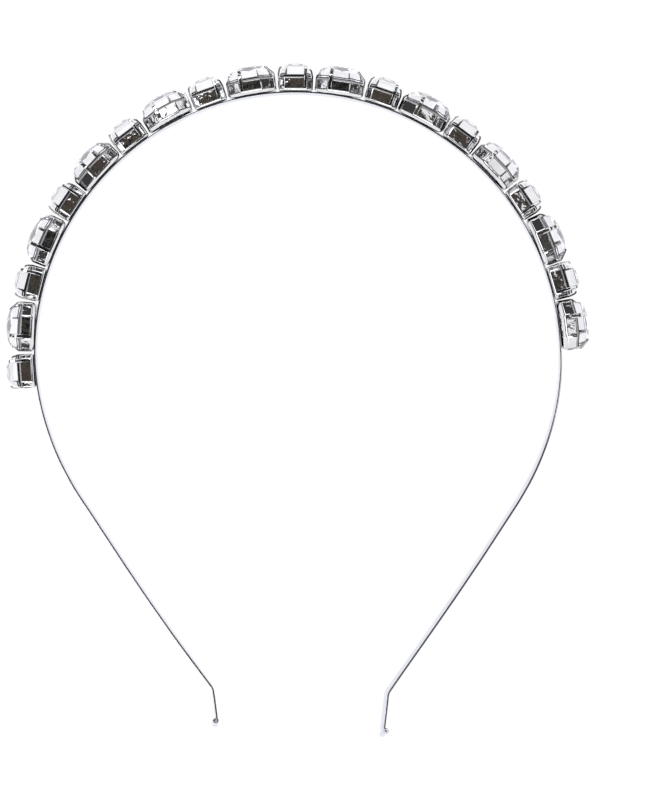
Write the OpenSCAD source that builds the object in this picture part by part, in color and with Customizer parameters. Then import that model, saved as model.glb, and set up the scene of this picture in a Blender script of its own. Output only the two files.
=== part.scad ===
// Crystal headband, lying on its side: the hoop is in the XY plane, its top towards +Y.
// The strip stands on edge along Z, and the row of settings points outwards from it.
// Millimetres and degrees. Along the band, angles run clockwise from the top of the hoop.

/* [Band] */
// Height of the hoop's top above its centre, to the middle of the strip
hoop_top = 63.2; // [62:0.1:66]
// Degrees by which the strip falls to the right at the top of the hoop
lean_deg = 0.7; // [0:0.1:2]
// Thickness of the strip
strip_t = 0.5; // [0.4:0.05:0.8]
// Width of the strip, from edge to edge
strip_w = 4; // [3:0.1:6]
// Outer diameter of the rolled eye at each tip
eye_d = 1.6; // [1.5:0.1:2]
// Diameter of the hole through the rolled eye
eye_hole_d = 0.5; // [0.3:0.1:0.6]

/* [Left side] */
// Radius of the hoop's left side
left_r = 62.25; // [61:0.05:66]
// Degrees of arc from the top of the hoop to the left leg
left_deg = 125.5; // [118:0.1:130]
// Length of the straight left leg
left_leg = 54.1; // [45:0.1:60]
// Length of the left tip beyond its bend
left_tip = 6.8; // [5:0.1:15]

/* [Right side] */
// Radius of the hoop's right side
right_r = 63.65; // [61:0.05:66]
// Degrees of arc from the top of the hoop to the right leg
right_deg = 123.4; // [118:0.1:130]
// Length of the straight right leg
right_leg = 53.4; // [45:0.1:60]
// Length of the right tip beyond its bend
right_tip = 7.9; // [5:0.1:15]

/* [Tips] */
// Degrees by which each tip bends outwards
tip_bend_deg = 27.5; // [10:0.5:35]
// Radius of the bend before each tip
tip_bend_r = 2.5; // [1:0.5:8]

/* [Row of settings] */
// Pairs of settings, each a small one and then a large one
pairs = 10; // [1:1:10]
// Where the first small setting stands along the strip, from the top of the hoop
first_at = -102.9; // [-105:0.1:-98]
// Step along the strip from one setting to the next
pitch = 10.23; // [10.2:0.01:10.4]
// Depth to which a cup sinks into the strip, where it is soldered
solder = 0.1; // [0.08:0.01:0.15]

/* [Settings] */
// Width of a large cup across its flats
large_w = 11.6; // [11.2:0.1:11.6]
// Share of a large cup's half width that each corner cuts off
large_cut = 0.54; // [0.5:0.01:0.58]
// Width of a small cup across its flats
small_w = 8; // [7.6:0.1:8]
// Share of a small cup's half width that each corner cuts off
small_cut = 0.3; // [0.25:0.01:0.35]
// Height of a cup's wall above the strip
cup_h = 3; // [2.8:0.1:3.1]
// Thickness of a cup's wall and floor
cup_wall = 0.35; // [0.3:0.05:0.4]
// Height and depth of the bevel round a cup's foot
foot_bevel = 0.7; // [0.4:0.1:0.8]
// Width of a claw along the cup
claw_w = 0.9; // [0.7:0.1:1]
// How far a claw stands out from the cup
claw_out = 0.25; // [0.2:0.05:0.25]

/* [Crystals] */
// Gap between a crystal's girdle and its claws
claw_gap = 0.08; // [0.06:0.01:0.12]
// How far a crystal's girdle stays inside the cup's outline
girdle_in = 0.3; // [0.25:0.05:0.4]

/* [Hidden] */
function numbered(name) = [for (i = [1:pairs]) str(name, i)];

arc_step = 3;
silver = "silver";
clear = "lavender";

// Height of a setting's claws: foot, shoulder and tip, above the strip
claw_foot = 1;
claw_shoulder = 3.9;
small_claw_tip = 5.1;
large_claw_tip = 4.9;
// How far a claw leans in over the crown
small_lean = 0.2;
large_lean = 0.85;

// Everything stands on the claws of the large cups
lift = large_w / 2 + claw_out;
// Where the centre of the hoop lies from the middle of the whole
hoop_at = [0.17, 10.18];

// Turned outlines of the crystals, from the culet up to the table.
// Step-cut rings: [height above the strip, share of the girdle's half width]
step_rings = [
    [0.8, 0.2],
    [2.2, 0.68],
    [3.5, 1],
    [3.75, 1],
    [5.5, 0.9],
    [6.7, 0.52],
];
// Brilliant-cut rings: [height above the strip, share of the girdle's radius, half steps turned]
star_rings = [
    [0.8, 0.1, 0],
    [2, 0.57, 1],
    [3.5, 1, 2],
    [3.8, 1, 2],
    [5.4, 0.74, 3],
    [6.7, 0.42, 4],
];

// Line of the band. A station is [x, y, heading], and a row is [length, turn].

// An arc as a row; it turns inwards, or outwards where deg is negative
function arc(r, deg) = [r * abs(deg) * PI / 180, -deg];

// One side of the band, from the top of the hoop to the tip
function side(r, deg, leg, tip) = [arc(r, deg), [leg, 0], arc(tip_bend_r, -tip_bend_deg), [tip, 0]];

// The station after one row
function onward(at, row) =
    let (half = row[1] / 2)
    let (chord = row[0] * (half == 0 ? 1 : sin(half) * 180 / (half * PI)))
    [at[0] + chord * cos(at[2] + half), at[1] + chord * sin(at[2] + half), at[2] + row[1]];

function flipped(at) = [-at[0], at[1], -at[2]];

function reverse(list) = [for (i = [len(list) - 1:-1:0]) list[i]];

// The rows cut into short rows of even turn
function fine(rows) = [
    for (row = rows)
        let (n = max(1, ceil(abs(row[1]) / arc_step)))
        for (k = [1:n]) row / n
];

function walk(rows, start) =
    [for (i = 0, at = start; i <= len(rows); at = onward(at, rows[min(i, len(rows) - 1)]), i = i + 1) at];

// The station at a length along the rows
function along(rows, start, length, i = 0) =
    length <= rows[i][0] ? onward(start, rows[i] * length / rows[i][0])
    : along(rows, onward(start, rows[i]), length - rows[i][0], i + 1);

right_side = side(right_r, right_deg, right_leg, right_tip);
left_side = side(left_r, left_deg, left_leg, left_tip);
top_station = [0, hoop_top, -lean_deg];

// The left side is walked as its mirror image, then flipped over
left_path = [for (at = walk(fine(left_side), flipped(top_station))) flipped(at)];
right_path = walk(fine(right_side), top_station);
band_path = concat(reverse(left_path), [for (i = [1:len(right_path) - 1]) right_path[i]]);

// The station at a signed length from the top, clockwise along the band
function station(length) =
    length < 0 ? flipped(along(left_side, flipped(top_station), -length))
    : along(right_side, top_station, length);

function edge(path, off) = [for (at = path) [at[0] - off * sin(at[2]), at[1] + off * cos(at[2])]];

// Outlines and faceted forms

// A square with cut corners, eight points anticlockwise
function cut_square(half, cut) =
    let (short = half * (1 - cut))
    [
        [half, -short], [half, short], [short, half], [-short, half],
        [-half, short], [-half, -short], [-short, -half], [short, -half],
    ];

// An octagon whose points have turned by half steps
function octagon(r, half_steps) = [for (i = [0:7]) let (a = 45 * i + 22.5 * half_steps) r * [cos(a), sin(a)]];

function raised(outline, z) = [for (p = outline) [p[0], p[1], z]];

// A closed form through eight-point rings, from the lowest to the highest
module ringed(rings) {
    n = 8;
    top = len(rings) - 1;
    points = [for (ring = rings) for (p = ring) p];
    walls = [
        for (k = [0:top - 1])
            for (i = [0:n - 1])
                let (a = k * n + i, b = k * n + (i + 1) % n)
                each [[a, a + n, b], [b, a + n, b + n]]
    ];
    caps = [[for (i = [0:n - 1]) i], [for (i = [n - 1:-1:0]) top * n + i]];
    polyhedron(points, concat(walls, caps));
}

// Pieces

module strip() {
    outline = concat(edge(band_path, strip_t / 2), reverse(edge(band_path, -strip_t / 2)));
    translate([0, 0, -strip_w / 2]) linear_extrude(strip_w) polygon(outline);
}

// The strip's end rolled inwards into an eye, a little narrower than the strip
module eye(at, ahead) {
    reach = 0.45;
    inward = 0.3;
    narrower = 0.2;
    translate([at[0], at[1], 0])
        rotate([0, 0, at[2]])
            translate([ahead * reach, -inward, 0])
                difference() {
                    cylinder(d = eye_d, h = strip_w - narrower, center = true, $fn = 32);
                    cylinder(d = eye_hole_d, h = strip_w, center = true, $fn = 24);
                }
}

// Stands a setting on the strip, its own z pointing outwards
module on_band(place) {
    at = station(first_at + place * pitch);
    translate([at[0], at[1], 0])
        rotate([0, 0, at[2]])
            translate([0, strip_t / 2, 0])
                rotate([-90, 0, 0])
                    children();
}

// Two opposite walls of a cup as one prism right across it, which narrows over the foot's bevel
module wall_pair(reach, foot_share) {
    foot = reach * foot_share;
    profile = [
        [-foot, -solder], [foot, -solder], [reach, foot_bevel],
        [reach, cup_h], [-reach, cup_h], [-reach, foot_bevel],
    ];
    rotate([90, 0, 0]) linear_extrude(4 * reach, center = true) polygon(profile);
}

// A straight hollow in a cup, open at the top
module hollow(half, cut, floor_at) {
    translate([0, 0, floor_at]) linear_extrude(cup_h) polygon(cut_square(half, cut));
}

// A square cup with cut corners, its hollow narrower over the foot than above it
module cup(half, cut) {
    corner = half * (2 - cut) / sqrt(2);
    foot_share = (half - foot_bevel) / half;
    difference() {
        intersection_for (turn = [0:45:135])
            rotate([0, 0, turn]) wall_pair(turn % 90 == 0 ? half : corner, foot_share);
        hollow(half - foot_bevel, cut, cup_wall);
        hollow(half - cup_wall, cut, foot_bevel);
    }
}

// A claw on the cup's -y side, seen in profile and drawn out to its width
module claw(half, claw_at, lean, tip) {
    inner = half - girdle_in + claw_gap;
    outer = half + claw_out;
    profile = [
        [inner, claw_foot], [outer, claw_foot], [outer, claw_shoulder],
        [outer - lean, tip], [inner - lean, tip], [inner, claw_shoulder],
    ];
    translate([claw_at + claw_w / 2, 0, 0])
        rotate([90, 0, -90])
            linear_extrude(claw_w)
                polygon(profile);
}

// A cup with four claws, each by the same corner of its side
module setting(half, cut, side_of_corner, lean, tip) {
    claw_at = side_of_corner * (half * (1 - cut) - claw_w / 2);
    cup(half, cut);
    for (turn = [0:90:270]) rotate([0, 0, turn]) claw(half, claw_at, lean, tip);
}

module band_and_settings() {
    color(silver) {
        strip();
        eye(band_path[0], -1);
        eye(band_path[len(band_path) - 1], 1);
        for (pair = [0:pairs - 1]) {
            on_band(2 * pair) setting(small_w / 2, small_cut, 1, small_lean, small_claw_tip);
            on_band(2 * pair + 1) setting(large_w / 2, large_cut, -1, large_lean, large_claw_tip);
        }
    }
}

module small_crystal(pair) {
    half = small_w / 2 - girdle_in;
    color(clear)
        on_band(2 * pair)
            ringed([for (ring = step_rings) raised(cut_square(half * ring[1], small_cut), ring[0])]);
}

module large_crystal(pair) {
    girdle_r = (large_w / 2 - girdle_in) / cos(22.5);
    color(clear)
        on_band(2 * pair + 1)
            ringed([for (ring = star_rings) raised(octagon(girdle_r * ring[1], ring[2] + 1), ring[0])]);
}

module placed() {
    translate([hoop_at[0], hoop_at[1], lift]) children();
}

placed() band_and_settings();
for (i = [1:pairs]) placed() large_crystal(i - 1);
for (i = [1:pairs]) placed() small_crystal(i - 1);
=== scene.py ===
# %% [markdown]
# # A headband with a row of cut crystals
# The real object is a springy plated strip bent into a hoop, with twenty small cups soldered along
# its outside. A cut crystal sits in each cup under four claws, large and small ones in turn.
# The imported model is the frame: it says how large everything is and where it lies. The cells below
# dress it, one kind of piece at a time. Sizes are in millimetres and turned into metres with MM.

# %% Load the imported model
import math

import bmesh
import bpy
from mathutils import Matrix, Vector


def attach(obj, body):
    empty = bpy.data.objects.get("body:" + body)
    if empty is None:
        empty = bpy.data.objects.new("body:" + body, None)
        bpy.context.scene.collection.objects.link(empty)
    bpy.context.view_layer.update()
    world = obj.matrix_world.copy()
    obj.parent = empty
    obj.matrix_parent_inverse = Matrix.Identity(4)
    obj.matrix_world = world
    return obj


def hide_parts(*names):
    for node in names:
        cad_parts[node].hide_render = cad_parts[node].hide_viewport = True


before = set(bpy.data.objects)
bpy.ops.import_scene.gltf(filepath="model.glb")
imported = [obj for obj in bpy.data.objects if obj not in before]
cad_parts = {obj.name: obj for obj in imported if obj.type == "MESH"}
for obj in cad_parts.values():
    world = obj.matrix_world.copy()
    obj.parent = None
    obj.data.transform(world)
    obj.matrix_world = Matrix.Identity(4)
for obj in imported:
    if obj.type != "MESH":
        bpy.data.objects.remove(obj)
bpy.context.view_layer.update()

MM = 0.001

# %% [markdown]
# ## The line of the band
# A bender makes such a band from few moves: an even arc for the head, a straight leg, a short bend
# and a tip that is rolled up. The line could be drawn by hand as a curve. Here a list of rows
# (length, turn) says the same thing, because walking along the rows keeps every arc true and lets a
# setting be placed by its distance along the strip. A station is (x, y, heading).

# %% Sizes of the band
HOOP_AT = (0.17, 10.18)          # the hoop's centre in the frame
HOOP_TOP = 63.2                  # from there up to the middle of the strip
TOP_LEAN = 0.7                   # degrees by which the strip falls to the right at the top
LEFT_SIDE = {"radius": 62.25, "degrees": 125.5, "leg": 54.1, "tip": 6.8}
RIGHT_SIDE = {"radius": 63.65, "degrees": 123.4, "leg": 53.4, "tip": 7.9}
STRIP_T, STRIP_W = 0.5, 4.0      # the strip's thickness and width
LARGE_W, SMALL_W = 11.6, 8.0     # widths of the settings, wall to wall
CLAW_OUT = 0.25                  # how far a large claw stands out from its wall
MID_Z = LARGE_W / 2 + CLAW_OUT   # the band lies on the claws of its large settings
print("middle of the strip above the table, mm:", MID_Z)

# %% Sizes of the tips
# Degrees and radius of the bend above a tip, of the small crank at its end, and of the rolled eye
TIP_BEND, TIP_BEND_R = 27.5, 2.5
CRANK, CRANK_R = 80, 0.55
EYE_TURN, EYE_R = 310, 0.48
EYE_LEAN = 20                    # degrees by which the eyes lean back towards the hoop
EYE_STEPS = 40                   # steps round a rolled eye
crank, eye_turn = math.radians(CRANK), math.radians(EYE_TURN)
crank_length = CRANK_R * crank
eye_rows = [(crank_length, crank), (EYE_R * eye_turn, -eye_turn)]
eye_length = sum(length for length, turn in eye_rows)
print("metal in a crank and its eye, mm:", round(eye_length, 2))


# %% Walk along the band
def onward(at, length, turn):
    """The station after a length of even turn."""
    x, y, heading = at
    half = turn / 2
    chord = length * (math.sin(half) / half if half else 1)
    way = heading + half                 # a chord points halfway between the headings at its ends
    return x + chord * math.cos(way), y + chord * math.sin(way), heading + turn


def side_rows(radius, degrees, leg, tip):
    """One side of the band, from the top of the hoop to its tip, as rows (length, turn)."""
    arc, bend = math.radians(degrees), math.radians(TIP_BEND)
    return [(radius * arc, -arc), (leg, 0), (TIP_BEND_R * bend, bend), (tip, 0)]


def walk(rows, start, step_deg=0.75, step_mm=2.0):
    """Stations a short step apart along the rows, with the distance walked so far."""
    at, run = start, 0.0
    made = [(at, run)]
    for length, turn in rows:
        n = max(1, math.ceil(abs(turn) / math.radians(step_deg)), math.ceil(length / step_mm))
        if abs(turn) > math.pi:          # only an eye turns so far, and fewer steps do for it
            n = EYE_STEPS
        for _ in range(n):
            at, run = onward(at, length / n, turn / n), run + length / n
            made.append((at, run))
    return made


def flipped(at):
    """The same station on the other side of the band."""
    return -at[0], at[1], -at[2]


left_walk = walk(side_rows(**LEFT_SIDE) + eye_rows, (0, HOOP_TOP, math.radians(TOP_LEAN)))
right_walk = walk(side_rows(**RIGHT_SIDE) + eye_rows, (0, HOOP_TOP, -math.radians(TOP_LEAN)))
band_line = [(flipped(at), -run) for at, run in reversed(left_walk)] + right_walk[1:]
across = [at[0] for at, run in band_line]
print("stations:", len(band_line))
print("hoop inside, mm:", round(max(across) - min(across) - STRIP_T, 1))
print("strip length, mm:", round(right_walk[-1][1] + left_walk[-1][1], 1))


# %% Find a place on the band
def station(along):
    """The station at a signed distance from the top, clockwise along the arc."""
    rows = side_rows(**(LEFT_SIDE if along < 0 else RIGHT_SIDE))
    start = (0, HOOP_TOP, math.radians(TOP_LEAN if along < 0 else -TOP_LEAN))
    length, turn = rows[0]
    at = onward(start, abs(along), turn * abs(along) / length)
    return flipped(at) if along < 0 else at


def placed(at, z=0.0):
    """A station's point in the frame, in metres."""
    return Vector(((at[0] + HOOP_AT[0]) * MM, (at[1] + HOOP_AT[1]) * MM, (MID_Z + z) * MM))


def ahead_and_out(at):
    """The directions along the band and out of the hoop at a station."""
    heading = at[2]
    return (Vector((math.cos(heading), math.sin(heading), 0)),
            Vector((-math.sin(heading), math.cos(heading), 0)))


print("top of the hoop, m:", [round(c, 4) for c in placed(station(0))])

# %% [markdown]
# ## The camera
# The photograph looks straight down on the headband as it lies on its side, from about 0.6 m. The
# long side of the picture spans 193.7 mm at the height of the strip, which gives the lens. An
# orthographic camera would be simpler, but the strip shows a little of its flat side near the edges
# of the picture, and only a real distance gives that.

# %% Camera straight above
PICTURE_MM = 193.7               # what the picture's long side spans at the height of the strip
PICTURE_MIDDLE = (6.05, -1.16)   # the point of the frame in the middle of the picture
CAMERA_UP = 600                  # from the middle of the strip
SENSOR_MM = 36

camera_data = bpy.data.cameras.new("camera")
camera_data.sensor_width = SENSOR_MM
camera_data.lens = SENSOR_MM * CAMERA_UP / PICTURE_MM
camera = bpy.data.objects.new("camera", camera_data)
camera.location = (PICTURE_MIDDLE[0] * MM, PICTURE_MIDDLE[1] * MM, (MID_Z + CAMERA_UP) * MM)
bpy.context.scene.collection.objects.link(camera)
bpy.context.scene.camera = camera
print("lens, mm:", round(camera_data.lens, 1))

# %% [markdown]
# ## Materials from nodes
# A finish is a small tree of nodes: noise on the piece's own coordinates feeds the colour and the
# roughness of one shader, so nothing is quite even. An image could do the same, but noise needs no
# unwrapping and has no seams. These helpers add a node, set its values and link it.


# %% Helpers for node trees
def new_material(name):
    """An empty material with its nodes and links, its Principled shader and its own coordinates."""
    material = bpy.data.materials.new(name)
    material.use_nodes = True
    nodes, links = material.node_tree.nodes, material.node_tree.links
    own = nodes.new("ShaderNodeTexCoord").outputs["Object"]
    return material, nodes, links, nodes["Principled BSDF"], own


def add_noise(nodes, links, coordinates, scale, detail):
    """Noise on these coordinates. Its grains are about 1 / scale metres across."""
    noise = nodes.new("ShaderNodeTexNoise")
    noise.inputs["Scale"].default_value = scale
    noise.inputs["Detail"].default_value = detail
    links.new(coordinates, noise.inputs["Vector"])
    return noise.outputs["Fac"]


def add_range(nodes, links, noise, low, high):
    """Stretches noise, which seldom leaves 0.3 to 0.7, over a range."""
    ranged = nodes.new("ShaderNodeMapRange")
    for socket, value in zip(("From Min", "From Max", "To Min", "To Max"), (0.3, 0.7, low, high)):
        ranged.inputs[socket].default_value = value
    links.new(noise, ranged.inputs["Value"])
    return ranged.outputs["Result"]


def add_ramp(nodes, links, value, stops):
    """Colours along a value: stops are (place, colour)."""
    ramp = nodes.new("ShaderNodeValToRGB")
    elements = ramp.color_ramp.elements
    while len(elements) > 1:
        elements.remove(elements[-1])
    for i, (place, colour) in enumerate(stops):
        element = elements[0] if i == 0 else elements.new(place)
        element.position = place
        element.color = (*colour, 1)
    links.new(value, ramp.inputs["Fac"])
    return ramp.outputs["Color"]


print("helpers: new_material, add_noise, add_range, add_ramp")

# %% [markdown]
# ## Polished plating
# Plated metal is nearly a mirror: its look comes from what it reflects, and from how flat it is.
# So the colour hardly varies, and a shallow unevenness some millimetres across does the work. One
# could paint the reflections on, but they would not move with the view.
# Where metal stands close to metal, light is lost between the mirrors. An ambient occlusion node
# finds those places, and painted shade darkens the colour there.

# %% Painted shade in crevices
OPEN_AT = 0.82                   # from this share of open sky on, a place isn't darkened
CREVICE_SAMPLES = 6


def painted_crevice_shade(nodes, links, reach_mm, dark_at, darkest):
    """Painted shade: white where a surface is open, and darkest where something stands close in
    front of it.
    """
    crevice = nodes.new("ShaderNodeAmbientOcclusion")
    crevice.samples = CREVICE_SAMPLES
    crevice.inputs["Distance"].default_value = reach_mm * MM
    stops = [(dark_at, (darkest,) * 3), (OPEN_AT, (1, 1, 1))]
    return add_ramp(nodes, links, crevice.outputs["AO"], stops)


def darkened(nodes, links, colour, by):
    """A colour multiplied by another."""
    product = nodes.new("ShaderNodeMix")
    product.data_type = "RGBA"
    product.blend_type = "MULTIPLY"
    product.inputs["Factor"].default_value = 1
    links.new(colour, product.inputs["A"])
    links.new(by, product.inputs["B"])
    return product.outputs["Result"]


print("helpers: crevices, darkened")


# %% Polished silver-coloured plating
def plating(name, wave_mm, depth_mm, colours, crevice_mm, gap_mm=0, edge_tint=(1, 1, 1)):
    """Mirror metal. Its unevenness is wave_mm across and depth_mm deep.

    Within crevice_mm of other metal, painted shade makes it nearly black, and within gap_mm darker."""
    material, nodes, links, shader, own = new_material(name)
    shader.inputs["Metallic"].default_value = 1.0
    shader.inputs["Specular Tint"].default_value = (*edge_tint, 1)
    cloud = add_noise(nodes, links, own, scale=300, detail=3)
    colour = add_ramp(nodes, links, cloud, list(zip((0.35, 0.65), colours)))
    # Painted shade: nearly black in crevices, and darker in the wider gaps between cups
    by = painted_crevice_shade(nodes, links, crevice_mm, dark_at=0.38, darkest=0.03)
    colour = darkened(nodes, links, colour, by)
    if gap_mm:
        by = painted_crevice_shade(nodes, links, gap_mm, dark_at=0.45, darkest=0.12)
        colour = darkened(nodes, links, colour, by)
    links.new(colour, shader.inputs["Base Color"])
    smears = add_noise(nodes, links, own, scale=900, detail=4)
    links.new(add_range(nodes, links, smears, 0.02, 0.07), shader.inputs["Roughness"])
    bump = nodes.new("ShaderNodeBump")
    bump.inputs["Distance"].default_value = depth_mm * MM
    links.new(add_noise(nodes, links, own, scale=1000 / wave_mm, detail=2.5), bump.inputs["Height"])
    links.new(bump.outputs["Normal"], shader.inputs["Normal"])
    return material


cup_metal = plating("plated_cups", wave_mm=1.9, depth_mm=0.09, crevice_mm=0.4, gap_mm=3.0,
                    colours=[(0.74, 0.74, 0.76), (0.82, 0.82, 0.84)])
strip_metal = plating("plated_strip", wave_mm=6.0, depth_mm=0.03, crevice_mm=0.3,
                      colours=[(0.74, 0.755, 0.805), (0.80, 0.815, 0.865)],
                      edge_tint=(0.92, 0.93, 0.97))
print("platings:", cup_metal.name, strip_metal.name)

# %% [markdown]
# ## Crystal, its silvered back and its girdle
# A set crystal is clear glass whose lower facets are silvered, so that light that goes in through
# the crown comes back out of it. Plain clear glass would be easier, but over a metal cup it looks
# dark and empty. So the facets below the girdle get a mirror, with a faint painted glow that stands
# in for the light caught between them. The photograph shows a dark line between each cup and its
# crown. A shadow alone stays too pale there, so the narrow girdle gets black paint as painted shade.


# %% Finishes of the stones
def stone_finish(name, cloud, colours, smears, roughness):
    """A material whose colour and roughness drift between two values each.

    cloud and smears are the (scale, detail) of the noise behind the colour and the roughness."""
    material, nodes, links, shader, own = new_material(name)
    noise = add_noise(nodes, links, own, *cloud)
    colour = add_ramp(nodes, links, noise, list(zip((0.3, 0.7), colours)))
    links.new(colour, shader.inputs["Base Color"])
    noise = add_noise(nodes, links, own, *smears)
    links.new(add_range(nodes, links, noise, *roughness), shader.inputs["Roughness"])
    return material, shader.inputs


crystal, sockets = stone_finish("clear_crystal", cloud=(200, 1), smears=(1500, 3),
                                colours=[(0.89, 0.89, 0.93), (0.97, 0.97, 0.99)],
                                roughness=(0.0, 0.015))
sockets["Transmission Weight"].default_value = 1.0
sockets["IOR"].default_value = 1.55

silvered, sockets = stone_finish("silvered_back", cloud=(500, 2), smears=(1200, 2),
                                 colours=[(0.82, 0.81, 0.88), (0.92, 0.92, 0.96)],
                                 roughness=(0.0, 0.02))
sockets["Metallic"].default_value = 1.0
# The emission is painted light: a faint glow that stands in for light caught between the facets
sockets["Emission Color"].default_value = (0.95, 0.95, 1.0, 1)
sockets["Emission Strength"].default_value = 0.3

# Black on the girdle is painted shade, for the dark gap between the cup's rim and the crown
painted_girdle_shade, sockets = stone_finish("girdle_lacquer", cloud=(900, 3), smears=(1500, 2),
                                colours=[(0.004, 0.004, 0.0045), (0.016, 0.0145, 0.0145)],
                                roughness=(0.12, 0.25))
print("stone finishes:", crystal.name, silvered.name, painted_girdle_shade.name)

# %% [markdown]
# ## Geometry Nodes in a few lines
# The strip is one profile swept along a line, and the settings are two forms repeated along it. A
# loop could place every vertex. A Geometry Nodes tree is shorter: it takes a few points that carry
# values, and makes the mesh from them. The next helpers build a tree, give it named inputs and turn
# its result into a plain mesh.


# %% Helpers for Geometry Nodes
def new_tree(name, inputs):
    """A tree with a geometry input and output, and named inputs (name, socket type, value)."""
    tree = bpy.data.node_groups.new(name, "GeometryNodeTree")
    for in_out in ("INPUT", "OUTPUT"):
        tree.interface.new_socket("Geometry", in_out=in_out, socket_type="NodeSocketGeometry")
    for socket_name, kind, value in inputs:
        socket = tree.interface.new_socket(socket_name, in_out="INPUT",
                                           socket_type="NodeSocket" + kind)
        if value is not None:
            socket.default_value = value
    return tree, tree.nodes.new("NodeGroupInput").outputs, tree.nodes.new("NodeGroupOutput").inputs


def add(tree, kind, settings=(), **inputs):
    """Adds a node. inputs are sockets to link or values to set, by name with _ for a space."""
    node = tree.nodes.new(kind)
    for key, value in dict(settings).items():
        setattr(node, key, value)
    for key, value in inputs.items():
        socket = node.inputs[key.replace("_", " ")]
        if isinstance(value, bpy.types.NodeSocket):
            tree.links.new(value, socket)
        else:
            socket.default_value = value
    return node


def carried(tree, name, kind="FLOAT"):
    """A value that the points or faces carry, by name."""
    node = add(tree, "GeometryNodeInputNamedAttribute", {"data_type": kind}, Name=name)
    return node.outputs["Attribute"]


print("helpers: new_tree, add, carried")


# %% From points to a plain mesh
def points_mesh(name, points, joined=False, **carried_values):
    """An object of bare points, with a list of vectors for each value that the points carry."""
    mesh = bpy.data.meshes.new(name)
    edges = [(i, i + 1) for i in range(len(points) - 1)] if joined else []
    mesh.from_pydata(points, edges, [])
    for key, vectors in carried_values.items():
        layer = mesh.attributes.new(key, "FLOAT_VECTOR", "POINT")
        layer.data.foreach_set("vector", [c for vector in vectors for c in vector])
    made = bpy.data.objects.new(name, mesh)
    bpy.context.scene.collection.objects.link(made)
    return made


def grown(name, points, tree, **inputs):
    """Runs a tree on the points and keeps its result as a plain mesh."""
    modifier = points.modifiers.new("grow", "NODES")
    modifier.node_group = tree
    for socket in tree.interface.items_tree:
        key = socket.name.replace(" ", "_")
        if socket.in_out == "INPUT" and key in inputs:
            modifier[socket.identifier] = inputs[key]
    bpy.context.view_layer.update()
    result = points.evaluated_get(bpy.context.evaluated_depsgraph_get())
    mesh = bpy.data.meshes.new_from_object(result)
    mesh.name = name
    points.modifiers.clear()
    bpy.data.objects.remove(points)
    piece = bpy.data.objects.new(name, mesh)
    bpy.context.scene.collection.objects.link(piece)
    print(name, len(mesh.polygons), "faces")
    return piece


# %% [markdown]
# ## The strip
# The real strip is sheared steel, 4 mm by 0.5 mm, with its edges tumbled round. It stands on edge
# round the head. Its legs are a little twisted and bent by hand, and each end is rolled into an
# eye. A bevelled curve would be quicker, but its tilt counts from a direction that Blender picks.
# So a tree sweeps a rounded oblong along the walk above, and every point of the line says outright
# which way the strip's outer face looks.

# %% A tree that sweeps the strip
EDGE_ROUND = 0.11                # radius of the strip's edges
EDGE_STEPS = 5                   # steps round each edge
SHARP = 25                       # degrees beyond which an edge stays crisp

tree, given, result = new_tree("sweep_strip", [
    ("Strip width", "Float", STRIP_W * MM), ("Strip thickness", "Float", STRIP_T * MM),
    ("Edge round", "Float", EDGE_ROUND * MM), ("Finish", "Material", None)])
line = add(tree, "GeometryNodeMeshToCurve", Mesh=given["Geometry"])
line = add(tree, "GeometryNodeSetCurveNormal", {"mode": "FREE"}, Curve=line.outputs["Curve"],
           Normal=carried(tree, "face_out", "FLOAT_VECTOR"))
oblong = add(tree, "GeometryNodeCurvePrimitiveQuadrilateral",
             Width=given["Strip thickness"], Height=given["Strip width"])
oblong = add(tree, "GeometryNodeFilletCurve", {"mode": "POLY"}, Curve=oblong.outputs["Curve"],
             Radius=given["Edge round"], Count=EDGE_STEPS)
swept = add(tree, "GeometryNodeCurveToMesh", Curve=line.outputs["Curve"],
            Profile_Curve=oblong.outputs["Curve"], Fill_Caps=True)
angle = add(tree, "GeometryNodeInputMeshEdgeAngle").outputs["Unsigned Angle"]
crisp = add(tree, "FunctionNodeCompare", {"operation": "GREATER_THAN"},
            A=angle, B=math.radians(SHARP))
smooth = add(tree, "GeometryNodeSetShadeSmooth", {"domain": "EDGE"}, Geometry=swept.outputs["Mesh"],
             Selection=crisp.outputs["Result"], Shade_Smooth=False)
# Nothing is an instance here, but the export drops instances, so every tree ends by making all real
real = add(tree, "GeometryNodeRealizeInstances", Geometry=smooth.outputs["Geometry"])
coat = add(tree, "GeometryNodeSetMaterial", Geometry=real.outputs["Geometry"],
           Material=given["Finish"])
tree.links.new(coat.outputs["Geometry"], result["Geometry"])
print("nodes that sweep the strip:", len(tree.nodes))

# %% Twist and stray of the legs
# Rows are (distance from the top, amount), and the amount runs straight from row to row. The twist
# is the degrees by which the strip's upper edge leans into the hoop. The stray is how far in mm a
# leg lies outside of its arc and straight line
LEFT_TWIST = [(100, 0), (120, -1), (180, -1), (190, 3), (193, 7.5), (210, 7.5)]
RIGHT_TWIST = [(95, 0), (130, -6.5), (189, -6.5), (193, -10), (210, -10)]
LEFT_STRAY = [(100, 0), (107, -0.12), (118, -0.32), (130, -0.36), (140, -0.2), (148, 0.02),
              (156, 0.22), (166, 0.34), (176, 0.26), (184, 0.06), (191, -0.1), (220, -0.1)]
RIGHT_STRAY = [(96, 0), (102, 0.1), (110, 0.05), (122, -0.14), (133, -0.2), (142, -0.05),
               (152, 0.12), (162, 0.12), (172, 0), (183, -0.2), (190, -0.32), (220, -0.4)]


def between(rows, value):
    """Reads a table of (place, amount) at a place, straight between its rows."""
    if value <= rows[0][0]:
        return rows[0][1]
    for (p0, a0), (p1, a1) in zip(rows, rows[1:]):
        if value <= p1:
            return a0 + (a1 - a0) * (value - p0) / (p1 - p0)
    return rows[-1][1]


print("twist of the right leg halfway, degrees:", between(RIGHT_TWIST, 160))

# %% Sweep the strip
SLACK = 0.001                    # mm, so that rounding doesn't skip the first station of an eye


def eye_from(walked):
    """The station at which a side's end begins to roll up, with its distance from the top."""
    return next(step for step in walked if step[1] > walked[-1][1] - eye_length - SLACK)


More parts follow.
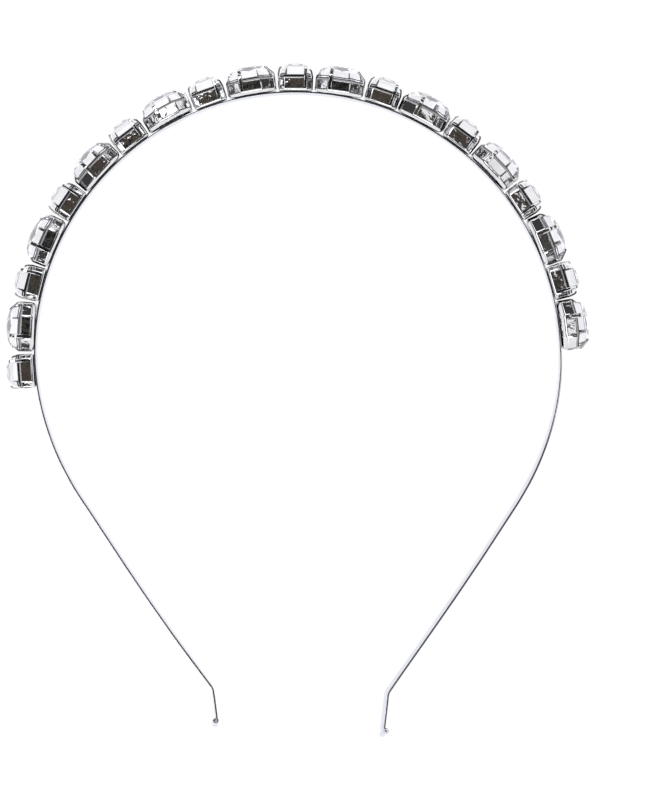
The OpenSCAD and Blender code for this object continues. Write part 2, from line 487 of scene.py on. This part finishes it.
def strip_lines(line):
    """Points of the strip's middle line, and the direction that its outer face looks in at each."""
    sides = {-1: (eye_from(left_walk), LEFT_TWIST, LEFT_STRAY),
             1: (eye_from(right_walk), RIGHT_TWIST, RIGHT_STRAY)}
    points, outs = [], []
    for at, run in line:
        side = -1 if run < 0 else 1
        (end_at, end_run), twists, strays = sides[side]
        twist, stray = math.radians(between(twists, abs(run))), between(strays, abs(run)) * MM
        point, out = placed(at), ahead_and_out(at)[1]
        if abs(run) > end_run:           # the rolled eye turns about the leaning width of the strip
            start = flipped(end_at) if side < 0 else end_at
            hinge = placed(start)
            end_ahead, end_out = ahead_and_out(start)
            share = min(1, (abs(run) - end_run) / crank_length)
            back = Matrix.Rotation(math.radians(EYE_LEAN) * share * -side, 3, end_out)
            lean = Matrix.Rotation(twist, 3, end_ahead) @ back
            point = hinge + lean @ (point - hinge) + end_out * stray
            out = lean @ out
        else:
            point += out * stray
            out = out * math.cos(twist) + Vector((0, 0, math.sin(twist)))
        points.append(point)
        outs.append(out)
    return points, outs


line_points, line_outs = strip_lines(band_line)
strip_points = points_mesh("strip_line", line_points, joined=True, face_out=line_outs)
band = grown("band", strip_points, tree, Finish=strip_metal)

# %% [markdown]
# ## A cup and its claws
# A setting is pressed from sheet: a cup whose walls are framed panels on a rounded foot, and four
# claws that stand a little off the walls and are bent over the crystal once it is in. A boolean of
# boxes would give the form, but the look is all in the rounded rims and feet. So the cup is lofted
# through outlines, each wall is let in by an inset, and a claw is a bar swept along its own bends.

# %% Outline of a cup
CORNER_STEPS = 3
CORNER_ROUND, LEAST_ROUND = 0.6, 0.1     # radius of the corners, and the least it shrinks to inside


def cup_outline(half, cut, inset):
    """A square with cut corners, moved inwards by inset and with its eight corners rounded."""
    corner = half * (2 - cut) / math.sqrt(2)
    r = max(CORNER_ROUND - inset, LEAST_ROUND)
    points = []
    for k in range(8):
        a, b = (half, corner) if k % 2 == 0 else (corner, half)
        a, b = a - inset - r, b - inset - r
        n = Vector((math.cos(math.radians(45 * k)), math.sin(math.radians(45 * k))))
        t = Vector((-n.y, n.x))
        middle = a * n + (b * math.sqrt(2) - a) * t
        for s in range(CORNER_STEPS + 1):
            phi = math.radians(45 * k + 45 * s / CORNER_STEPS)
            points.append(middle + r * Vector((math.cos(phi), math.sin(phi))))
    return points


print("points round a cup:", len(cup_outline(LARGE_W / 2, cut=0.5, inset=0)))

# %% Loft a cup
FOOT_STEPS, FOOT_SUNK = 6, 0.05  # a foot is sunk a little, so that no gap shows over the strip
# Rows of the rim and of the inside are (height, inset)
RIM_RINGS = [(2.88, 0.0), (2.95, 0.03), (2.99, 0.09), (3.0, 0.17), (2.99, 0.25), (2.95, 0.31),
             (2.85, 0.35)]
INSIDE_RINGS = [(1.0, 0.35), (0.7, 0.5), (0.5, 0.9)]


def foot_rings(high, far_in):
    """The foot's curve, as rows (height, inset)."""
    quarter = [math.radians(90 * i / FOOT_STEPS) for i in range(FOOT_STEPS + 1)]
    return [(high * (1 - math.cos(q)) - FOOT_SUNK, far_in * (1 - math.sin(q))) for q in quarter]


def skin(mesh, rings):
    """Joins rings of vertices with four-sided faces, given back as (ring, place, face)."""
    made = []
    for k, (low, high) in enumerate(zip(rings, rings[1:])):
        for i in range(len(low)):
            j = (i + 1) % len(low)
            made.append((k, i, mesh.faces.new((low[i], low[j], high[j], high[i]))))
    return made


def loft_cup(mesh, half, cut, foot):
    """Adds a cup to a bmesh, foot on z = 0 and open upwards. Gives back its wall panels."""
    foot_rows = foot_rings(*foot)
    rings = []
    for z, inset in foot_rows + RIM_RINGS + INSIDE_RINGS:
        outline = cup_outline(half, cut, inset)
        rings.append([mesh.verts.new((p.x * MM, p.y * MM, z * MM)) for p in outline])
    panels = []
    # Panels lie between foot and rim, from the last point of a corner to the first of the next
    for k, i, face in skin(mesh, rings):
        is_panel = k == len(foot_rows) - 1 and (i + 1) % (CORNER_STEPS + 1) == 0
        face.smooth = not is_panel
        if is_panel:
            panels.append(face)
    mesh.faces.new(reversed(rings[0])).smooth = False
    mesh.faces.new(rings[-1]).smooth = False
    return panels


print("rings of the rim and the inside:", len(RIM_RINGS + INSIDE_RINGS))

# %% Frame the walls
# Width of the frame, width of the slope inside it, and how deep the panel lies
FRAME_W, FRAME_SLOPE, FRAME_DEPTH = 0.16, 0.07, 0.1


def let_in(mesh, panels):
    """Lets each wall panel in behind a narrow frame."""
    bmesh.ops.inset_individual(mesh, faces=panels, thickness=FRAME_W * MM, depth=0)
    slope = bmesh.ops.inset_individual(mesh, faces=panels, thickness=FRAME_SLOPE * MM,
                                       depth=-FRAME_DEPTH * MM)
    for face in slope["faces"]:
        face.smooth = False


print("depth of the panels, mm:", FRAME_DEPTH)

# %% Bend a claw
CLAW_T, CLAW_EDGE = 0.42, 0.16   # thickness of a claw, and the radius of its edges
EDGE_POINTS = 3
CLAW_UP, CLAW_IN = 0.75, 0.09    # where a claw starts: above the foot, and in from the wall's face
CLAW_LEAN = 2.5                  # degrees by which a claw stands off the wall before it bends
BEND_STEP = 10                   # degrees of a bend from one ring to the next
TIP_STEP, TIP_SHARES = 0.12, (0.9, 0.55)    # the last two steps, in which a claw narrows


def bar_ring(share, wide):
    """The rounded oblong section of a claw: x along the cup, y through its thickness."""
    wide, thick, edge = wide * share, CLAW_T * share, CLAW_EDGE * share
    points = []
    for sx, sy, start in ((1, 1, 0), (-1, 1, 90), (-1, -1, 180), (1, -1, 270)):
        for s in range(EDGE_POINTS):
            phi = math.radians(start + 90 * s / (EDGE_POINTS - 1))
            points.append((sx * (wide / 2 - edge) + edge * math.cos(phi),
                           sy * (thick / 2 - edge) + edge * math.sin(phi)))
    return points


def bend_claw(mesh, half, at_x, wide, rows):
    """Adds a claw on the cup's -y side. Its rows (length, turn) bend it inwards from the wall."""
    path = [(CLAW_UP, half - CLAW_IN, math.radians(CLAW_LEAN))]
    for length, turn in rows:
        n = max(1, round(abs(turn) / BEND_STEP))
        for _ in range(n):
            path.append(onward(path[-1], length / n, -math.radians(turn) / n))
    sections = [(at, 1.0) for at in path]
    for k, share in enumerate(TIP_SHARES, start=1):
        sections.append((onward(path[-1], TIP_STEP * k, 0), share))
    rings = []
    for (z, out, heading), share in sections:
        cos, sin = math.cos(heading), math.sin(heading)
        rings.append([mesh.verts.new(((at_x + x) * MM, -(out + y * cos) * MM, (z - y * sin) * MM))
                      for x, y in bar_ring(share, wide)])
    for _, i, face in skin(mesh, rings):
        face.smooth = i % EDGE_POINTS != EDGE_POINTS - 1
    mesh.faces.new(reversed(rings[0]))
    mesh.faces.new(rings[-1])


print("points round a claw:", len(bar_ring(1, wide=1)))

# %% Make the two settings
PIVOT = 3.3                      # the height about which a setting that isn't true has turned
SMALL_CUP = {"half": SMALL_W / 2, "cut": 0.3, "foot": (0.5, 0.5),
             "claw_at": 2.45, "claw_wide": 0.8,
             "claw_rows": [(3.05, 0), (0.3, 12.5), (1.0, 0), (0.5, 40), (0.15, 0)]}
LARGE_CUP = {"half": LARGE_W / 2, "cut": 0.54, "foot": (0.8, 1.4),
             "claw_at": -2.22, "claw_wide": 1.0,
             "claw_rows": [(2.95, 0), (0.7, 44.5), (1.7, 0), (0.3, 8), (0.3, 0)]}


def finished(mesh, name):
    """Puts the pivot at the origin, turns the normals out and makes an object of a bmesh."""
    bmesh.ops.translate(mesh, verts=mesh.verts, vec=(0, 0, -PIVOT * MM))
    bmesh.ops.recalc_face_normals(mesh, faces=mesh.faces)
    data = bpy.data.meshes.new(name)
    mesh.to_mesh(data)
    mesh.free()
    print(name, len(data.polygons), "faces")
    return bpy.data.objects.new(name, data)


def setting(name, half, cut, foot, claw_at, claw_wide, claw_rows):
    """A cup with four claws, each beside the same corner of its wall.

    cut is how much of half a side each cut corner takes, foot is how high its curve goes and how
    far in, and claw_at is counted from the wall's middle."""
    mesh = bmesh.new()
    let_in(mesh, loft_cup(mesh, half, cut, foot))
    for quarter in range(4):
        before = set(mesh.verts)
        bend_claw(mesh, half, claw_at, claw_wide, claw_rows)
        cos, sin = math.cos(math.radians(90 * quarter)), math.sin(math.radians(90 * quarter))
        for vert in [v for v in mesh.verts if v not in before]:
            x, y = vert.co.x, vert.co.y
            vert.co.x, vert.co.y = x * cos - y * sin, x * sin + y * cos
    return finished(mesh, name)


small_cup = setting("small_cup", **SMALL_CUP)
large_cup = setting("large_cup", **LARGE_CUP)

# %% [markdown]
# ## The crystals
# The small crystals are step cut, square with cut corners, and the large ones are brilliant cut on
# an octagon. A cutter grinds flat facets round a stone in rings. One could cut a block with planes
# in the same way, but rings of eight points describe the stone directly. Facets stay flat and their
# edges sharp, because that is what makes glass sparkle.

# %% Rings of the stones
# Rows are (height, share of the girdle's width, turn). Between rings of the same turn lie flat
# facets, and between rings of different turns lie triangles. The large stone counts in half steps
SMALL_RINGS = [(0.8, 0.2, 0), (2.2, 0.68, 0), (3.2, 1, 0), (3.6, 1, 0), (4.7, 0.91, 0),
               (5.8, 0.77, 0), (6.7, 0.42, 1)]
LARGE_RINGS = [(0.8, 0.1, 1), (2.0, 0.57, 2), (3.35, 1, 3), (3.55, 1, 3), (5.3, 0.92, 3),
               (6.2, 0.69, 3), (6.7, 0.42, 4)]
GIRDLE_RING = 2                  # facets under this ring are silvered, and those on it get black painted shade
GIRDLE_IN = 0.3                  # from the wall's face to the girdle


def octagon(r, first):
    """Eight even points at a radius, the first one so many steps of 45 degrees round."""
    turns = [math.radians(45 * i + 45 * first) for i in range(8)]
    return [(r * math.cos(turn), r * math.sin(turn)) for turn in turns]


def small_ring(share, turn):
    """A square with cut corners, or an octagon where it is turned."""
    half = (SMALL_W / 2 - GIRDLE_IN) * share
    if turn:
        return octagon(half, first=turn)
    short = half * (1 - SMALL_CUP["cut"])
    corner = ((half, short), (short, half))
    quarters = ((1, 0), (0, 1), (-1, 0), (0, -1))
    return [(x * c - y * s, x * s + y * c) for c, s in quarters for x, y in corner]


def large_ring(share, half_steps):
    """An octagon as wide as the cup allows, turned by half steps."""
    r = (LARGE_W / 2 - GIRDLE_IN) / math.cos(math.radians(22.5)) * share
    return octagon(r, first=half_steps / 2)


print("girdles, mm:", SMALL_W - 2 * GIRDLE_IN, round(LARGE_W - 2 * GIRDLE_IN, 1))


# %% Cut the stones
def cut_stone(name, rows, ring):
    """A closed faceted stone. Its faces carry two marks, for the silvering and for the girdle's
    painted shade.
    """
    mesh = bmesh.new()
    silver_mark = mesh.faces.layers.float.new("silvered")
    girdle_mark = mesh.faces.layers.float.new("girdle")
    rings = [[mesh.verts.new((x * MM, y * MM, z * MM)) for x, y in ring(share, turn)]
             for z, share, turn in rows]
    for k, (low, high) in enumerate(zip(rings, rings[1:])):
        turned = rows[k][2] != rows[k + 1][2]
        for i in range(8):
            a, b, c, d = low[i], low[(i + 1) % 8], high[(i + 1) % 8], high[i]
            for corners in [(a, b, d), (b, c, d)] if turned else [(a, b, c, d)]:
                facet = mesh.faces.new(corners)
                facet[silver_mark] = float(k < GIRDLE_RING)
                facet[girdle_mark] = float(k == GIRDLE_RING)
    mesh.faces.new(reversed(rings[0]))[silver_mark] = 1.0
    mesh.faces.new(rings[-1])
    return finished(mesh, name)


small_stone = cut_stone("small_stone", SMALL_RINGS, small_ring)
large_stone = cut_stone("large_stone", LARGE_RINGS, large_ring)

# %% [markdown]
# ## The row
# The settings stand an even step apart along the strip, small and large in turn, and each was
# soldered by hand, so none stands quite true. Twenty objects could be placed one by one. Instead a
# tree puts a form on each point of the row, turned outwards, with the small lean that the point
# carries. The same tree sets the stones, so a stone always leans with its cup.

# %% A tree that sets a form along the band
tree, given, result = new_tree("set_along_band", [
    ("Form", "Object", None), ("Finish", "Material", None), ("Backing", "Material", None),
    ("Girdle coat", "Material", None)])
upright = add(tree, "FunctionNodeAxesToRotation", {"primary_axis": "Z", "secondary_axis": "X"},
              Primary_Axis=carried(tree, "outwards", "FLOAT_VECTOR"),
              Secondary_Axis=carried(tree, "onwards", "FLOAT_VECTOR"))
lean = add(tree, "FunctionNodeEulerToRotation", Euler=carried(tree, "lean", "FLOAT_VECTOR"))
turned = add(tree, "FunctionNodeRotateRotation", {"rotation_space": "LOCAL"},
             Rotation=upright.outputs["Rotation"], Rotate_By=lean.outputs["Rotation"])
form = add(tree, "GeometryNodeObjectInfo", Object=given["Form"])
spread = add(tree, "GeometryNodeInstanceOnPoints", Points=given["Geometry"],
             Instance=form.outputs["Geometry"], Rotation=turned.outputs["Rotation"])
real = add(tree, "GeometryNodeRealizeInstances", Geometry=spread.outputs["Instances"])
coat = add(tree, "GeometryNodeSetMaterial", Geometry=real.outputs["Geometry"],
           Material=given["Finish"])
back = add(tree, "GeometryNodeSetMaterial", Geometry=coat.outputs["Geometry"],
           Selection=carried(tree, "silvered"), Material=given["Backing"])
ring = add(tree, "GeometryNodeSetMaterial", Geometry=back.outputs["Geometry"],
           Selection=carried(tree, "girdle"), Material=given["Girdle coat"])
tree.links.new(ring.outputs["Geometry"], result["Geometry"])
print("nodes that set a form:", len(tree.nodes))

# %% The lean of each setting
# Degrees for each setting from the lower left to the right: rock is its upper side leaning out from
# the hoop, roll its far end standing off the strip, turn its turn in its own seat
LEANS = [dict(zip(("rock", "roll", "turn"), row)) for row in [
    (0.9, 0.0, 0.3), (-1.3, 2.2, -2.5), (0.5, 0.5, -1.0), (-1.6, 0.3, 1.0), (0.5, 0.0, 0.5),
    (-1.3, 0.4, 4.0), (0.2, -0.3, 0.4), (3.5, 0.6, 1.0), (0.5, 1.2, -0.4), (-1.3, 0.5, -1.5),
    (0.2, 0.0, 0.0), (-2.3, 1.2, -1.0), (0.7, -0.4, 0.4), (-1.1, 0.2, 6.0), (0.9, 0.6, -0.4),
    (3.5, 0.0, 1.5), (0.8, -0.8, 0.4), (-0.4, -2.6, 6.0), (0.2, 0.4, -0.4), (5.2, 0.4, 4.0)]]


def lift(rock, turn):
    """How much higher a setting that isn't true stands, so that no claw is in the table."""
    # far is the angle from straight down to the outer corner of the lowest claw
    far = math.atan2(abs(LARGE_CUP["claw_at"]) + LARGE_CUP["claw_wide"] / 2, MID_Z)
    turned_down = MID_Z / math.cos(far) * math.cos(far - math.radians(turn)) - MID_Z
    return max(0, turned_down) + PIVOT * math.sin(math.radians(abs(rock)))


print("highest lift, mm:", round(max(lift(how["rock"], how["turn"]) for how in LEANS), 2))

# %% Set the cups
FIRST_AT, PITCH = -102.9, 10.23  # the first setting's distance from the top, and the even step


def row_points(name, places):
    """Points for these places of the row, each with its directions and its lean."""
    middles, outwards, onwards, leans = [], [], [], []
    for place in places:
        at, how = station(FIRST_AT + place * PITCH), LEANS[place]
        ahead, out = ahead_and_out(at)
        seat = placed(at, z=lift(how["rock"], how["turn"]))
        middles.append(seat + out * (STRIP_T / 2 + PIVOT) * MM)
        outwards.append(out)
        onwards.append(ahead)
        leans.append([math.radians(a) for a in (-how["rock"], -how["roll"], how["turn"])])
    return points_mesh(name, middles, outwards=outwards, onwards=onwards, lean=leans)


in_row = {"small": range(0, len(LEANS), 2), "large": range(1, len(LEANS), 2)}
cups = []
for kind, cup in (("small", small_cup), ("large", large_cup)):
    seats = row_points("seats", in_row[kind])
    cups.append(grown(f"{kind}_settings", seats, tree, Form=cup, Finish=cup_metal))

# %% Set the stones, one piece each
stones = {}
for kind, stone in (("small", small_stone), ("large", large_stone)):
    for number, place in enumerate(in_row[kind], start=1):
        stones[f"{kind}_crystal_{number}"] = grown(
            f"{kind}_cut_crystal_{number}", row_points("seat", [place]), tree,
            Form=stone, Finish=crystal, Backing=silvered, Girdle_coat=painted_girdle_shade)
for form_object in (small_cup, large_cup, small_stone, large_stone):
    bpy.data.objects.remove(form_object)
print("stones set:", len(stones))

# %% [markdown]
# ## Floor and light
# Polished metal shows its surroundings, so they are part of the look. The photograph was taken over
# a bright white table in a dim room, with large soft boxes round it and nothing but a dark ceiling
# behind the camera. So what faces the camera is dark, what faces a box or the table is white, and
# a thin dark line runs where one turns into the other. One even white sky would be simpler, but
# polished metal loses its outlines in it.

# %% White table
FLOOR_R = 8.0                    # metres, so far out that the metal sees no edge of it
TABLE_GREY, TABLE_GLOW = 0.1, 0.95    # the glow makes it white, and the grey takes faint shadows
mesh = bmesh.new()
bmesh.ops.create_circle(mesh, cap_ends=True, segments=64, radius=FLOOR_R)
floor_data = bpy.data.meshes.new("floor")
mesh.to_mesh(floor_data)
mesh.free()
floor = bpy.data.objects.new("floor", floor_data)
bpy.context.scene.collection.objects.link(floor)

table_top = bpy.data.materials.new("white_table")
table_top.use_nodes = True
sockets = table_top.node_tree.nodes["Principled BSDF"].inputs
sockets["Base Color"].default_value = (TABLE_GREY, TABLE_GREY, TABLE_GREY, 1)
sockets["Roughness"].default_value = 0.9
sockets["Specular IOR Level"].default_value = 0
sockets["Emission Color"].default_value = (1, 1, 1, 1)
sockets["Emission Strength"].default_value = TABLE_GLOW
floor_data.materials.append(table_top)
print("floor radius, m:", FLOOR_R)

# %% Dim room
# Rows are (radians from straight above, colour): lens and camera, the warm ceiling, then the walls
ROOM = [
    (0.0, (0.010, 0.010, 0.011)), (0.07, (0.014, 0.014, 0.015)), (0.095, (0.045, 0.050, 0.046)),
    (0.115, (0.058, 0.062, 0.055)), (0.125, (0.028, 0.028, 0.026)), (0.138, (0.095, 0.080, 0.056)),
    (0.152, (0.112, 0.078, 0.064)), (0.165, (0.056, 0.043, 0.038)), (0.19, (0.05, 0.047, 0.042)),
    (0.22, (0.11, 0.11, 0.105)), (0.26, (0.05, 0.05, 0.05)), (0.36, (0.17, 0.17, 0.18)),
    (0.50, (0.14, 0.14, 0.15)), (0.85, (0.055, 0.055, 0.058)), (1.0, (0.050, 0.051, 0.050))]
ROOM_DRIFT = 0.03                # radians by which noise shifts the zones, so that none is even

world = bpy.data.worlds.new("studio")
world.use_nodes = True
bpy.context.scene.world = world
nodes, links = world.node_tree.nodes, world.node_tree.links
direction = nodes.new("ShaderNodeTexCoord").outputs["Generated"]
split = nodes.new("ShaderNodeSeparateXYZ")
links.new(direction, split.inputs["Vector"])
from_top = nodes.new("ShaderNodeMath")   # the arc cosine of a direction's upward part is its angle
from_top.operation = "ARCCOSINE"
links.new(split.outputs["Z"], from_top.inputs[0])
shifted = nodes.new("ShaderNodeMath")
shifted.operation = "ADD"
links.new(from_top.outputs["Value"], shifted.inputs[0])
drift = add_noise(nodes, links, direction, scale=14, detail=3)
links.new(add_range(nodes, links, drift, -ROOM_DRIFT, ROOM_DRIFT), shifted.inputs[1])
room = add_ramp(nodes, links, shifted.outputs["Value"], ROOM)
links.new(room, nodes["Background"].inputs["Color"])
bpy.context.scene.view_settings.view_transform = "Standard"
print("zones of the room:", len(ROOM))

# %% Soft boxes
# Degrees round the table and down from straight above, width and height in metres, and brightness
SOFT_BOXES = [
    {"round": 116, "down": 31, "wide": 0.12, "high": 0.5, "bright": 2.4},
    {"round": 28, "down": 29, "wide": 0.44, "high": 0.5, "bright": 0.9},
    {"round": 100, "down": 50, "wide": 0.7, "high": 0.45, "bright": 2.2},
    {"round": 198, "down": 38, "wide": 0.55, "high": 0.55, "bright": 2.4},
    {"round": 275, "down": 50, "wide": 0.8, "high": 0.8, "bright": 2.2}]
BOX_FAR = 0.9                    # metres from the middle of the table
for number, box in enumerate(SOFT_BOXES, start=1):
    lamp_data = bpy.data.lights.new(f"soft_box_{number}", "AREA")
    lamp_data.shape = "RECTANGLE"
    lamp_data.size, lamp_data.size_y = box["wide"], box["high"]
    # Energy is brightness times pi times area, so a larger box needs more for the same brightness
    lamp_data.energy = box["bright"] * math.pi * box["wide"] * box["high"]
    lamp = bpy.data.objects.new(f"soft_box_{number}", lamp_data)
    turn, down = math.radians(box["round"]), math.radians(box["down"])
    aside = math.sin(down)
    lamp.location = BOX_FAR * Vector((math.cos(turn) * aside, math.sin(turn) * aside,
                                      math.cos(down)))
    lamp.rotation_euler = lamp.location.to_track_quat("Z", "Y").to_euler()
    bpy.context.scene.collection.objects.link(lamp)
print("soft boxes:", len(SOFT_BOXES))

# %% [markdown]
# ## Put the pieces in place of the imported ones
# Nothing on a headband moves by itself, so every piece rides on the one body. The strip and the two
# rows of settings stand for the imported metal, and each cut stone for its packed stone. One could
# hide the imported solids by hand, but then nobody would know what took the place of which.

# %% Ride and replace
for piece in [band, *cups]:
    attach(piece, "root")
    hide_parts("band_and_settings")
for node, piece in stones.items():
    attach(piece, "root")
    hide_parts(node)
